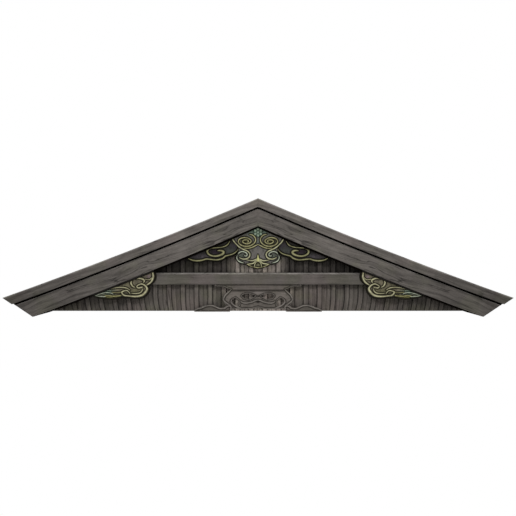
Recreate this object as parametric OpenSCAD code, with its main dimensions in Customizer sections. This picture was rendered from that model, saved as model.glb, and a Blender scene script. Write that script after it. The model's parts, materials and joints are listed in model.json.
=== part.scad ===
// Timber gable pediment: swept barge boards and caps over a board-and-batten wall, with a tie
// beam, a scrolled pendant and its fins, two carved corner brackets and a frog-leg strut.
// Millimetres. X runs to the right, Z up, and the front faces -Y. The back is flat, at Y = 0.
// Z = 0 is the middle of the tie beam.

/* [Gable] */
// Half of the width over the tips of the cap boards
half_width = 2430; // [1900:10:3000]
// Height of the apex above the middle of the tie beam
apex_rise = 760; // [600:1:1000]
// Fall of the boards at the apex, for each unit run
fall = 0.425; // [0.34:0.005:0.52]
// How far the swept tips stand above a straight fall
tip_lift = 86; // [0:1:160]
// Angle of the end cuts to the horizontal
end_cut = 33.8; // [25:0.1:45]

/* [Cap boards] */
// Upright depth of the cap board's face at the apex
cap_face = 80; // [50:1:110]
// How much deeper the cap board's face is at the tips
cap_growth = 14; // [0:1:40]
// How far the cap boards stand proud of the barge boards
cap_proud = 26; // [5:1:50]

/* [Barge boards] */
// Upright height of the dark reveal between cap board and barge board
reveal = 19; // [8:1:30]
// Upright depth of the barge board's face at the apex
barge_face = 165; // [120:1:220]
// How much deeper the barge board's face is at the tips
barge_growth = 7; // [0:1:30]
// Thickness of the barge boards
barge_thick = 110; // [80:1:150]
// Depth of the rebates along the barge board's upper and lower edges
rebate = 45; // [15:1:60]
// Upright height of the rebated lower edge
lip = 19; // [8:1:30]
// Length over which the lower rebate runs out towards the tips
lip_runout = 190; // [60:5:300]
// How far the barge board's end is set back from the cap board's end
end_setback = 20; // [0:1:60]

/* [Wall] */
// Pitch of the wall boards
board_pitch = 130; // [100:1:170]
// Thickness of the wall boards
board_thick = 22; // [16:1:40]
// Open joint between two wall boards
board_gap = 2; // [1:0.5:4]
// Width of the cover battens
batten_width = 47; // [30:1:60]
// Thickness of the cover battens
batten_thick = 20; // [12:1:35]
// Drop from the middle of the tie beam to the foot of the wall
wall_foot = 310; // [240:1:400]
// How far the wall runs up behind the barge boards
wall_lap = 120; // [60:1:150]
// How far the foot of the outer boards is drawn in towards the middle
foot_draw = 24; // [0:1:40]
// Height over which the foot is drawn in
draw_height = 170; // [80:5:240]
// Distance from the middle where the drawing in begins
draw_start = 480; // [200:10:900]
// Distance over which the drawing in reaches its full measure
draw_spread = 450; // [200:10:900]

/* [Tie beam] */
// Height of the tie beam
beam_height = 104; // [70:1:130]
// Depth of the tie beam in front of the battens
beam_depth = 40; // [25:1:60]

/* [Pendant] */
// Height of the pendant below the barge boards
pendant_height = 385; // [280:1:480]
// Half of the pendant's width where it leaves the barge boards
pendant_half = 252; // [200:1:320]
// Thickness of the pendant's ground
pendant_thick = 66; // [40:1:90]
// Outer radius of the rosette
rosette_radius = 46; // [30:1:60]
// Thickness of the rosette's disc
rosette_thick = 16; // [8:1:30]
// Number of petals
petals = 6; // [4:1:12]

/* [Fins] */
// Length of a fin beyond the pendant
fin_length = 480; // [360:5:600]
// Thickness of a fin's ground
fin_thick = 46; // [30:1:60]
// Clearance that a fin keeps from a corner bracket
carving_clearance = 6; // [2:1:20]

/* [Corner brackets] */
// Length of a corner bracket
bracket_length = 585; // [450:5:720]
// Height of a corner bracket
bracket_height = 252; // [190:1:320]
// Thickness of a corner bracket's ground
bracket_thick = 75; // [60:1:100]
// Clearance of a carving's housing around the tie beam
housing_clearance = 1; // [0.5:0.5:4]

/* [Frog-leg strut] */
// Half of the strut's width over its wave feet
strut_half = 603; // [480:1:740]
// How far the wave feet hang below the foot of the wall
strut_drop = 5; // [0:1:20]
// Thickness of the strut's ground
strut_thick = 38; // [25:1:60]

/* [Carved ribs] */
// Width of the carved ribs
rib_width = 15; // [8:1:20]
// Height of the carved ribs above their ground
rib_relief = 12; // [5:1:20]

/* [Hidden] */
// Number of straight lengths that make up a swept edge
SWEEP_STEPS = 27;
// Number of points between two knots of a carved curve
CURVE_STEPS = 4;
// Number of straight lengths in the drawn-in foot of a wall board
BEND_STEPS = 5;
// Highest place of the bend, as a share of the board's height
HIGHEST_BEND = 0.9;
// Depth by which a rib is rooted in its ground
ROOT = 3;
// Ring on which the petals stand, as a share of the rosette's radius
PETAL_RING = 0.62;
// Drop of the rosette's middle below the apex, as a share of its radius
ROSETTE_DROP = 0.88;
// Where a fin's outline starts, as a share of the pendant's half width
FIN_SEAM = 0.752;
// How far carvings are drawn over the barge boards, in shares, before they are trimmed to them
OVER = 0.2;
// Reach of the shapes that trim others
DEEP = 3000;

wall_front = board_thick + batten_thick;
beam_front = wall_front + beam_depth;
barge_front = wall_front + barge_thick;
cap_front = barge_front + cap_proud;
lip_end = closing_run(function(x) face_z(x) - cut_z(x));
apex_seat = lip_z(0);
beam_foot = -beam_height / 2;
corner_run = closing_run(function(x) lip_z(x) - beam_foot);
strut_height = wall_foot + beam_foot + strut_drop;
// The wall runs out until the barge boards' underside has come down to its foot
wall_run = min(lip_end, closing_run(function(x) lip_z(x) + wall_foot));
side_boards = ceil((wall_run - board_pitch / 2) / board_pitch);
fin_seam = pendant_half * FIN_SEAM;

SIDES = ["left", "right"];

// ---- Swept edges: height of each edge at a distance from the middle

function share(x) = min(1, abs(x) / half_width);
function top_z(x) = apex_rise - fall * abs(x) + tip_lift * pow(x / half_width, 2);
function cap_z(x) = top_z(x) - cap_face - cap_growth * share(x);
function barge_z(x) = cap_z(x) - reveal;
function face_z(x) = barge_z(x) - barge_face - barge_growth * share(x);
function lip_share(x) = max(0, min(1, (lip_end - abs(x)) / lip_runout));
function lip_z(x) = face_z(x) - lip * lip_share(x);
// The end cut of the barge board, as a height at a distance from the middle
function cut_z(x) = top_z(half_width) - (half_width - end_setback - x) * tan(end_cut);

// Distance from the middle at which a falling gap closes, found by halving
function closing_run(gap, near = 0, far = half_width, turns = 24) =
    let (mid = (near + far) / 2)
    turns == 0 ? mid
    : gap(mid) > 0 ? closing_run(gap, mid, far, turns - 1)
    : closing_run(gap, near, mid, turns - 1);

sweep_runs = [for (i = [0:SWEEP_STEPS]) half_width * i / SWEEP_STEPS];

// ---- Curves of the carving

function between(a, b, c, d, t) =
    0.5 * (2 * b + (c - a) * t + (2 * a - 5 * b + 4 * c - d) * t * t + (3 * b - a - 3 * c + d) * t * t * t);
// A smooth curve through its knots
function curve(k) =
    let (last = len(k) - 1)
    concat(
        [for (i = [0:last - 1]) for (s = [0:CURVE_STEPS - 1])
            between(k[max(i - 1, 0)], k[i], k[i + 1], k[min(i + 2, last)], s / CURVE_STEPS)],
        [k[last]]
    );
// An oval scroll that winds in to its eye
function scroll(eye, radii, start, turns, inner) =
    let (count = ceil(14 * abs(turns)))
    [for (i = [0:count])
        let (t = i / count, a = start + 360 * turns * t, r = 1 - (1 - inner) * t)
        [eye[0] + radii[0] * r * cos(a), eye[1] + radii[1] * r * sin(a)]];
function scaled(points, sizes) = [for (p = points) [p[0] * sizes[0], p[1] * sizes[1]]];
function flipped(points) = [for (i = [len(points) - 1:-1:0]) [-points[i][0], points[i][1]]];
function across(p, i) =
    let (d = p[min(i + 1, len(p) - 1)] - p[max(i - 1, 0)])
    [-d[1], d[0]] / norm(d);
// A band of even width along a line
function band(p, width) =
    concat(
        [for (i = [0:len(p) - 1]) p[i] + across(p, i) * width / 2],
        [for (i = [len(p) - 1:-1:0]) p[i] - across(p, i) * width / 2]
    );

// ---- Shared modules

// Extrudes an outline of the front view to the front, from a depth in front of the back plane
module slab(from, thick) {
    rotate([90, 0, 0])
        translate([0, 0, from])
            linear_extrude(thick)
                children();
}

module on_side(side) {
    if (side < 0) mirror([1, 0, 0]) children();
    else children();
}

// The strip between two swept edges on the right side
module strip(upper, lower) {
    polygon(concat(
        [for (x = sweep_runs) [x, upper(x)]],
        [for (i = [SWEEP_STEPS:-1:0]) [sweep_runs[i], lower(sweep_runs[i])]]
    ));
}

// All that lies inside the end cut, which starts at a distance from the middle
module within_end(tip) {
    translate([tip, top_z(half_width)])
        rotate(end_cut)
            translate([-DEEP, 0])
                square([2 * DEEP, DEEP]);
}

// All that lies under the barge boards
module under_barge() {
    polygon(concat(
        [[-half_width, -DEEP]],
        [for (i = [SWEEP_STEPS:-1:0]) [-sweep_runs[i], lip_z(sweep_runs[i])]],
        [for (i = [1:SWEEP_STEPS]) [sweep_runs[i], lip_z(sweep_runs[i])]],
        [[half_width, -DEEP]]
    ));
}

module ribs(lines, width) {
    for (line = lines) polygon(band(line, width));
}

// ---- Boards

module cap_board(side) {
    color([0.47, 0.44, 0.41])
        on_side(side)
            slab(wall_front, cap_front - wall_front)
                intersection() {
                    strip(function(x) top_z(x), function(x) cap_z(x));
                    within_end(half_width);
                }
}

module barge_board(side) {
    color([0.44, 0.41, 0.38])
        on_side(side) {
            slab(wall_front, barge_thick - rebate)
                intersection() {
                    strip(function(x) cap_z(x), function(x) lip_z(x));
                    within_end(half_width - end_setback);
                }
            slab(wall_front, barge_thick)
                intersection() {
                    strip(function(x) barge_z(x), function(x) face_z(x));
                    within_end(half_width - end_setback);
                }
        }
}

// How far the foot of an upright edge is drawn in at a height
function drawn(x, z) =
    let (
        spread = max(0, min(1, (abs(x) - draw_start) / draw_spread)),
        low = max(0, min(1, (draw_height - wall_foot - z) / draw_height))
    )
    x - sign(x) * foot_draw * spread * low * low;
function wall_top(x) = lip_z(x) + wall_lap;
// An upright edge of the wall, from its foot to its top
function wall_edge(x) =
    let (bend = min(draw_height, (wall_top(x) + wall_foot) * HIGHEST_BEND))
    concat(
        [for (i = [0:BEND_STEPS]) let (z = -wall_foot + bend * i / BEND_STEPS) [drawn(x, z), z]],
        [[x, wall_top(x)]]
    );
function reversed(points) = [for (i = [len(points) - 1:-1:0]) points[i]];

// An upright strip of the wall between two distances from the middle
module upright(x0, x1) {
    polygon(concat(
        wall_edge(x0),
        x0 * x1 < 0 ? [[0, wall_top(0)]] : [],
        reversed(wall_edge(x1))
    ));
}

module wall_board(k) {
    middle = k * board_pitch;
    half = (board_pitch - board_gap) / 2;
    joint = middle - sign(k) * board_pitch / 2;
    color([0.36, 0.33, 0.31]) {
        slab(0, board_thick)
            upright(middle - half, middle + half);
        if (k != 0)
            slab(board_thick, batten_thick)
                upright(joint - batten_width / 2, joint + batten_width / 2);
    }
}

module tie_beam() {
    color([0.42, 0.39, 0.36])
        slab(wall_front, beam_depth)
            intersection() {
                translate([-half_width, beam_foot])
                    square([2 * half_width, beam_height]);
                under_barge();
            }
}

// The room that a carving leaves for the tie beam where it passes over it
module beam_housing() {
    slab(wall_front - housing_clearance, beam_depth + 2 * housing_clearance)
        translate([-half_width, beam_foot - housing_clearance])
            square([2 * half_width, beam_height + 2 * housing_clearance]);
}

// ---- Pendant, in shares of its half width and its height below the apex

pendant_edge = curve([
    [-1.00, -0.283], [-0.905, -0.369], [-0.773, -0.456], [-0.725, -0.53], [-0.754, -0.628],
    [-0.822, -0.714], [-0.811, -0.776], [-0.735, -0.838], [-0.58, -0.88], [-0.415, -0.907],
    [-0.302, -0.949], [0, -1]
]);
pendant_top = [[0, OVER], [-1 - OVER, 0]];
pendant_lines = [
    scroll([-0.18, -0.34], [0.34, 0.145], 75, -2.1, 0.16),
    curve([[-0.97, -0.30], [-0.86, -0.38], [-0.62, -0.49], [-0.36, -0.545], [-0.29, -0.66], [-0.44, -0.74],
        [-0.66, -0.71]]),
    curve([[-0.45, -0.60], [-0.64, -0.61], [-0.79, -0.72], [-0.74, -0.81], [-0.55, -0.85], [-0.40, -0.88],
        [-0.25, -0.93], [-0.03, -0.96]]),
    curve([[-0.03, -0.44], [-0.13, -0.47], [-0.30, -0.50], [-0.52, -0.49]])
];

module pendant_outline(points) {
    translate([0, apex_seat])
        polygon(scaled(points, [pendant_half, pendant_height]));
}

module pendant_ribs() {
    for (line = pendant_lines) {
        half_line = scaled(line, [pendant_half, pendant_height]);
        translate([0, apex_seat]) {
            polygon(band(half_line, rib_width));
            polygon(band(flipped(half_line), rib_width));
        }
    }
}

module pendant() {
    color([0.40, 0.37, 0.38])
        difference() {
            slab(wall_front, pendant_thick)
                intersection() {
                    pendant_outline(
                    concat(pendant_top, pendant_edge, flipped(pendant_edge), [[1 + OVER, 0]])
                );
                    under_barge();
                }
            beam_housing();
        }
    color([0.62, 0.58, 0.36])
        slab(wall_front + pendant_thick - ROOT, rib_relief + ROOT)
            intersection() {
                pendant_ribs();
                under_barge();
            }
}

module pendant_rosette() {
    petal_ring = rosette_radius * PETAL_RING;
    petal_radius = rosette_radius - petal_ring;
    color([0.35, 0.62, 0.50])
        translate([0, -wall_front - pendant_thick, apex_seat - rosette_radius * ROSETTE_DROP])
            rotate([90, 0, 0]) {
                cylinder(h = rosette_thick, r = petal_ring, $fn = 48);
                for (i = [0:petals - 1])
                    rotate([0, 0, 90 + i * 360 / petals])
                        translate([petal_ring, 0, 0])
                            cylinder(h = rosette_thick + rib_relief / 2, r = petal_radius, $fn = 32);
                cylinder(h = rosette_thick + rib_relief, r = petal_ring / 2, $fn = 32);
            }
}

// ---- Fins, in shares of their length and of the pendant's height, from the pendant's edge

fin_edge = curve([
    [-0.005, -0.56], [-0.04, -0.628], [-0.10, -0.68], [-0.18, -0.703], [-0.255, -0.74],
    [-0.30, -0.785], [-0.38, -0.815], [-0.54, -0.805], [-0.64, -0.80], [-0.74, -0.83],
    [-0.88, -0.835], [-1.02, -0.77]
]);
fin_lines = [
    curve([[-0.10, -0.29], [-0.12, -0.36], [-0.22, -0.44], [-0.44, -0.46], [-0.58, -0.51], [-0.615, -0.59],
        [-0.52, -0.675], [-0.36, -0.67], [-0.25, -0.61]]),
    curve([[-0.045, -0.52], [-0.08, -0.60], [-0.17, -0.66], [-0.26, -0.69], [-0.34, -0.76], [-0.50, -0.77],
        [-0.62, -0.755], [-0.76, -0.79], [-0.92, -0.78]])
];

module pendant_fin(side) {
    sizes = [fin_length, pendant_height];
    // The outline's inner end lies behind the pendant's edge, which then cuts it
    closed = concat([[0.3, fin_edge[0][1]], [0.3, OVER], [-1 - OVER, OVER]], reversed(fin_edge));
    on_side(-side) {
        color([0.40, 0.37, 0.38])
            difference() {
                slab(wall_front, fin_thick)
                    difference() {
                        intersection() {
                            translate([-fin_seam, apex_seat])
                                polygon(scaled(closed, sizes));
                            under_barge();
                        }
                        pendant_outline(concat(pendant_top, pendant_edge, [[0, -1]]));
                        bracket_outline(carving_clearance);
                    }
                beam_housing();
            }
        color([0.62, 0.58, 0.36])
            slab(wall_front + fin_thick - ROOT, rib_relief + ROOT)
                difference() {
                    intersection() {
                        translate([-fin_seam, apex_seat])
                            ribs([for (line = fin_lines) scaled(line, sizes)], rib_width);
                        under_barge();
                    }
                    bracket_outline(carving_clearance);
                }
    }
}

// ---- Corner brackets, in shares of their length and height, from where the foot of the tie
// beam meets the barge board

bracket_edge = curve([
    [-0.50, -0.44], [-0.45, -0.47], [-0.37, -0.51], [-0.29, -0.53], [-0.19, -0.54], [-0.10, -0.52],
    [-0.047, -0.48], [0.067, -0.49], [0.165, -0.52], [0.245, -0.515], [0.31, -0.48], [0.36, -0.405],
    [0.395, -0.29], [0.405, -0.18], [0.375, -0.085], [0.41, -0.035], [0.455, 0.045], [0.495, 0.16],
    [0.505, 0.29], [0.485, 0.46]
]);
bracket_top = [[0.40, 0.70], [-0.60, -0.10]];
bracket_lines = [
    curve([[0.10, -0.36], [0.05, -0.27], [-0.03, -0.32], [0.00, -0.42], [0.10, -0.46], [0.21, -0.47],
        [0.31, -0.42], [0.37, -0.29], [0.38, -0.18], [0.35, -0.08], [0.29, -0.02], [0.23, -0.06],
        [0.235, -0.15], [0.30, -0.13]]),
    curve([[-0.21, -0.20], [-0.145, -0.155], [-0.05, -0.135], [0.035, -0.16], [0.09, -0.23]]),
    curve([[-0.34, -0.48], [-0.26, -0.445], [-0.16, -0.44], [-0.05, -0.44]]),
    curve([[0.13, 0.13], [0.12, 0.03], [0.145, -0.09], [0.18, -0.13]]),
    curve([[0.205, 0.17], [0.26, 0.20], [0.31, 0.17], [0.33, 0.10], [0.31, 0.05]]),
    curve([[0.465, 0.40], [0.475, 0.25], [0.435, 0.09], [0.375, -0.02]])
];

// A left bracket's outline, grown all round by a clearance
module bracket_outline(clearance = 0) {
    translate([-corner_run, beam_foot])
        polygon(scaled(
            concat(bracket_top, bracket_edge),
            [bracket_length + 2 * clearance, bracket_height + 2 * clearance]
        ));
}

module corner_bracket(side) {
    sizes = [bracket_length, bracket_height];
    on_side(-side) {
        color([0.52, 0.50, 0.33])
            difference() {
                slab(wall_front, bracket_thick)
                    intersection() {
                        bracket_outline();
                        under_barge();
                    }
                beam_housing();
            }
        color([0.66, 0.62, 0.40])
            slab(wall_front + bracket_thick - ROOT, rib_relief + ROOT)
                intersection() {
                    translate([-corner_run, beam_foot])
                        ribs([for (line = bracket_lines) scaled(line, sizes)], rib_width);
                    under_barge();
                }
    }
}

// ---- Frog-leg strut, in shares of its half width and height, from the foot of the tie beam

strut_edge = concat(
    [[0, 0], [-0.66, 0], [-0.685, -0.08]],
    curve([[-0.64, -0.09], [-0.535, -0.10], [-0.49, -0.155], [-0.425, -0.20]]),
    curve([[-0.48, -0.30], [-0.53, -0.41], [-0.555, -0.535], [-0.55, -0.625], [-0.495, -0.79]]),
    curve([[-0.535, -0.865], [-0.60, -0.87], [-0.645, -0.825], [-0.71, -0.77], [-0.785, -0.76],
        [-0.85, -0.79], [-0.90, -0.85], [-0.96, -0.88], [-1, -0.95]]),
    [[-1, -1], [-0.45, -1], [-0.41, -0.895], [-0.09, -0.895], [-0.05, -0.86], [0, -0.84]]
);
strut_eyes = [
    curve([[-0.354, -0.50], [-0.40, -0.56], [-0.41, -0.65], [-0.38, -0.74], [-0.33, -0.81], [-0.295, -0.79],
        [-0.29, -0.68], [-0.31, -0.58]]),
    curve([[-0.26, -0.44], [-0.215, -0.37], [-0.15, -0.355], [-0.09, -0.39], [-0.04, -0.44], [-0.09, -0.51],
        [-0.15, -0.565], [-0.22, -0.53]])
];
strut_lines = [
    curve([[-0.985, -0.96], [-0.95, -0.905], [-0.895, -0.88], [-0.84, -0.825], [-0.78, -0.79],
        [-0.71, -0.80], [-0.645, -0.86], [-0.60, -0.905], [-0.53, -0.90], [-0.485, -0.84],
        [-0.45, -0.82], [-0.43, -0.88]]),
    curve([[-0.43, -0.225], [-0.465, -0.305], [-0.515, -0.415], [-0.538, -0.535], [-0.53, -0.62],
        [-0.48, -0.73], [-0.43, -0.79]]),
    curve([[-0.425, -0.56], [-0.44, -0.66], [-0.405, -0.76], [-0.34, -0.85], [-0.24, -0.875]]),
    curve([[-0.275, -0.63], [-0.235, -0.69], [-0.17, -0.70], [-0.09, -0.66], [-0.03, -0.61]])
];

module frog_leg_strut() {
    sizes = [strut_half, strut_height];
    color([0.46, 0.43, 0.40]) {
        slab(wall_front, strut_thick)
            translate([0, beam_foot])
                difference() {
                    polygon(scaled(concat(strut_edge, flipped(strut_edge)), sizes));
                    for (eye = strut_eyes) {
                        polygon(scaled(eye, sizes));
                        polygon(scaled(flipped(eye), sizes));
                    }
                }
        slab(wall_front + strut_thick - ROOT, rib_relief + ROOT)
            translate([0, beam_foot])
                for (line = strut_lines) {
                    polygon(band(scaled(line, sizes), rib_width));
                    polygon(band(flipped(scaled(line, sizes)), rib_width));
                }
    }
}

cap_board(-1);  // cap_board_left
cap_board(1);  // cap_board_right
barge_board(-1);  // barge_board_left
barge_board(1);  // barge_board_right
tie_beam();
pendant();
pendant_rosette();
pendant_fin(-1);  // pendant_fin_left
pendant_fin(1);  // pendant_fin_right
corner_bracket(-1);  // corner_bracket_left
corner_bracket(1);  // corner_bracket_right
frog_leg_strut();
wall_board(0);  // wall_board_middle
for (k = [1:side_boards]) {
    wall_board(-k);
    wall_board(k);
}
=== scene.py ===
"""A weathered timber gable pediment: swept barge boards and caps over a board-and-batten wall, with a
tie beam, a scrolled pendant with fins and rosette, two corner brackets and a frog-leg strut."""

import json
import math

import bmesh
import bpy
import numpy as np
from bpy.props import FloatProperty, FloatVectorProperty, PointerProperty
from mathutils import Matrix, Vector
from mathutils.geometry import delaunay_2d_cdt

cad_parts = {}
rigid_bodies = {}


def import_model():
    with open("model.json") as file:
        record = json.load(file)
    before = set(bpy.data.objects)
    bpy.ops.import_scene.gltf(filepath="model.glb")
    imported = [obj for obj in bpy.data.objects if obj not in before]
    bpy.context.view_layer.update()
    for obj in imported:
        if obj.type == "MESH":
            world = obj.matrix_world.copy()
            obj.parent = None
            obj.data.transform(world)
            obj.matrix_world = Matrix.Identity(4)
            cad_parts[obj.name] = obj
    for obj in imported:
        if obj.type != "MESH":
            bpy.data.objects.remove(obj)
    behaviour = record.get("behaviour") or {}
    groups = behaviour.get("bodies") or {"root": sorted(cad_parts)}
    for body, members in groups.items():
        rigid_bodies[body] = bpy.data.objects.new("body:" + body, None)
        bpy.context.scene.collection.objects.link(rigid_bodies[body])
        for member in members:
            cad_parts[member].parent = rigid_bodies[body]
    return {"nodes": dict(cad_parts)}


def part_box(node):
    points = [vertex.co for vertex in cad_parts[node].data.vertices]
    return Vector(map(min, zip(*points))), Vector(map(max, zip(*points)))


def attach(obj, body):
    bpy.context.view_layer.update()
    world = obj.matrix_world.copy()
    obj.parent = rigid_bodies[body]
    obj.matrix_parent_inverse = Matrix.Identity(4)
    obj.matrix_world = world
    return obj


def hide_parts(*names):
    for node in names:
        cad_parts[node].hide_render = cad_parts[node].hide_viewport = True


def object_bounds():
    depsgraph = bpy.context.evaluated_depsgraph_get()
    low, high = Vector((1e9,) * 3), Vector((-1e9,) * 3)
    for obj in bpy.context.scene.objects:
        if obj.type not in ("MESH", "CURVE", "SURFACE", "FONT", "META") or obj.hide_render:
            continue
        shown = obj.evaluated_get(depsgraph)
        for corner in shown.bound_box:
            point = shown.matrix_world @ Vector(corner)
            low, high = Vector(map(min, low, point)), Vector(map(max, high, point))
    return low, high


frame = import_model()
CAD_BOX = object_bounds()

bl_info = {
    "name": "Timber gable pediment",
    "version": (1, 0, 0),
    "blender": (4, 5, 0),
    "location": "View3D > Sidebar > Gable",
    "description": "Builds the carved and weathered finish of a timber gable pediment",
    "category": "Object",
}

BODY = "root"
SIDES = ("left", "right")

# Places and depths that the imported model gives, in metres
WALL_BOARDS = sorted(name for name in frame["nodes"] if name.startswith("wall_board"))
BEAM_LOW, BEAM_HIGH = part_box("tie_beam")
PENDANT_LOW, PENDANT_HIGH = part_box("pendant")
FIN_LOW, FIN_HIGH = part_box("pendant_fin_left")
BRACKET_LOW, BRACKET_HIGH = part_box("corner_bracket_left")
STRUT_LOW, STRUT_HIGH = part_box("frog_leg_strut")
BARGE_LOW, BARGE_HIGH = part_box("barge_board_right")
ROSETTE_LOW, ROSETTE_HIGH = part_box("pendant_rosette")
WALL_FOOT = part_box("wall_board_middle")[0].z
BATTEN_FRONT = BEAM_HIGH.y
BOARD_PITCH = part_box("wall_board_left_1")[0].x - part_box("wall_board_left_2")[0].x
APEX_SEAT = PENDANT_HIGH.z
ROOF_FALL = (APEX_SEAT - BARGE_LOW.z) / BARGE_HIGH.x

# Depths, in metres: ribs of the solids, where outlines are cut, the rebate, and the seat over the brackets
RELIEF, OUTLINE_DEPTH = 0.012, 0.006
REBATE_NEAR, REBATE_FAR = 0.004, 0.060
SEAT_REACH = 0.050
BRACKET_SEAM = BEAM_LOW.y - 0.004
# Where the shares of a fin and a bracket start, and how much of their boxes one share spans
FIN_SPAN = (1.0238, 1.0379)
BRACKET_SPAN, BRACKET_RISE = (0.4899, 0.9954), (0.54, 0.992)
# Carvings: outward lean of their sides, rim rows, and how closely their points may lie, in cells
EDGE_LEAN = 0.008
RIM_ROWS = (-0.0055, -0.0022, 0.0022, 0.0055)
FINE_BIN, COARSE_BIN = 0.42, 0.8
BOARD_ANGLE, CARVED_ANGLE = 35.0, 42.0
# Ribs: painted shade and highlight, the tone on their flanks and how much paler their crests are
FLANK_SHADE, CREST_HIGHLIGHT, CREST_HIGHLIGHT_POWER = 0.17, 1.10, 1.8
# Drawn-in foot of the wall and the drying check down the middle of each board
DRAW_START, DRAW_SPREAD, DRAW_HEIGHT, FOOT_DRAW = 0.480, 0.450, 0.170, 0.024
CHECK_HALF, CHECK_DARK = 0.0020, 0.42
# Painted light and shade on the wall below and above the beam, darker to the corners and paler where shadows fall:
# from and to, in metres off the middle, and the tone at each
LOW_LIGHT_AND_SHADE = ((0.30, 2.1, 1.45, 0.78), (0.28, 0.34, 4.0, 1.0))
HIGH_LIGHT_AND_SHADE = ((0.09, 0.31, 5.4, 0.62), (0.60, 0.80, 1.0, 0.65), (0.045, 0.085, 1.45, 1.0))
REAR_TONE = 0.8
# Grime, and painted shade: its colours, how far the painted shade beside a neighbouring piece reaches, and how dark
# it makes sides and cuts
GRIME, CONTACT_SHADE, REVEAL_SHADE = (0.016, 0.014, 0.012), (0.003, 0.002, 0.0015), (0.0030, 0.0018, 0.0012)
PAINT_CUT_SHADE, WOOD_CUT_SHADE = (0.005, 0.004, 0.002), (0.012, 0.010, 0.008)
SHADE_REACH, SIDE_SHADE, PAINT_CUT_SHADING, WOOD_CUT_SHADING = 0.045, 0.7, 0.97, 0.52
CONTACT_SAMPLES = 32
OLIVE_CAST, ROSE_CAST, WORN_GOLD = (0.96, 1.0, 0.90), (1.03, 0.98, 1.0), (0.62, 0.60, 0.54)
WOOD_BUMP, SOFT_BUMP, PAINT_BUMP = 0.004, 0.003, 0.002
# Stage: lamps with their aim, strength and spread, surrounding light, floor and camera
LAMPS = [("sun_left", (0.55, 1.0, -0.75), 0.95, 12.0), ("sun_right", (-0.55, 1.0, -0.75), 0.95, 12.0),
         ("sun_top", (0.0, 0.25, -1.0), 0.8, 8.0)]
FILL = 0.45
FLOOR_SIZE, FLOOR_DROP, FLOOR_ROUGHNESS = 14.0, 1.0, 0.9
VIEW_WIDTH, VIEW_CENTRE, VIEW_BACK = 4.902, 0.1924, 6.0


# ---------------------------------------------------------------- sizes and finishes a user may change


class GableSizes(bpy.types.PropertyGroup):
    """Sizes of the finish, in metres."""

    # The worn arris is paler: wear and a painted highlight
    arris: FloatProperty(
        name="Worn arris", description="Width of the worn chamfer on the upper front edges",
        default=0.010, min=0.0, unit="LENGTH")
    # The batten chamfer is darkened with dirt and painted shade
    batten_edge: FloatProperty(
        name="Batten edge", description="Width of the dirty chamfer along the battens",
        default=0.005, min=0.0, unit="LENGTH")
    edge: FloatProperty(
        name="Edge rounding", description="Width of the rounding on all other edges of the boards",
        default=0.003, min=0.0, unit="LENGTH")
    relief: FloatProperty(
        name="Rib relief", description="Height of the carved ribs above their ground",
        default=0.011, min=0.001, unit="LENGTH")
    groove: FloatProperty(
        name="Groove depth", description="Depth of the cut on each side of a rib",
        default=0.009, min=0.0, unit="LENGTH")
    cut_width: FloatProperty(
        name="Cut width", description="Width of the cut on each side of a rib",
        default=0.009, min=0.001, unit="LENGTH")
    rounding: FloatProperty(
        name="Carving edge", description="Rounding of the carvings' outer edges",
        default=0.006, min=0.001, unit="LENGTH")
    cell: FloatProperty(
        name="Carving cell", description="Spacing of the points that carry the carved relief",
        default=0.0045, min=0.002, unit="LENGTH")


class GableFinishes(bpy.types.PropertyGroup):
    """Colours of the finishes, as linear values."""

    timber: FloatVectorProperty(
        name="Timber", description="Weathered timber of the boards", subtype="COLOR", size=3,
        default=(0.1165, 0.1055, 0.0965), min=0.0, max=1.0)
    wall: FloatVectorProperty(
        name="Wall boards", description="Dusty timber of the wall", subtype="COLOR", size=3,
        default=(0.077, 0.0685, 0.061), min=0.0, max=1.0)
    # Pale upper edges: bleaching and a painted highlight
    arris: FloatVectorProperty(
        name="Worn edges", description="Bleached wood on the upper edges", subtype="COLOR", size=3,
        default=(0.20, 0.187, 0.175), min=0.0, max=1.0)
    ground: FloatVectorProperty(
        name="Ground", description="Faded purple-grey ground of the pendant", subtype="COLOR", size=3,
        default=(0.118, 0.111, 0.103), min=0.0, max=1.0)
    strut: FloatVectorProperty(
        name="Strut", description="Bare wood of the strut", subtype="COLOR", size=3,
        default=(0.118, 0.105, 0.093), min=0.0, max=1.0)
    backdrop: FloatVectorProperty(
        name="Backdrop", description="Floor under the gable", subtype="COLOR", size=3,
        default=(0.9, 0.9, 0.9), min=0.0, max=1.0)


# ---------------------------------------------------------------- node helpers


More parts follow.
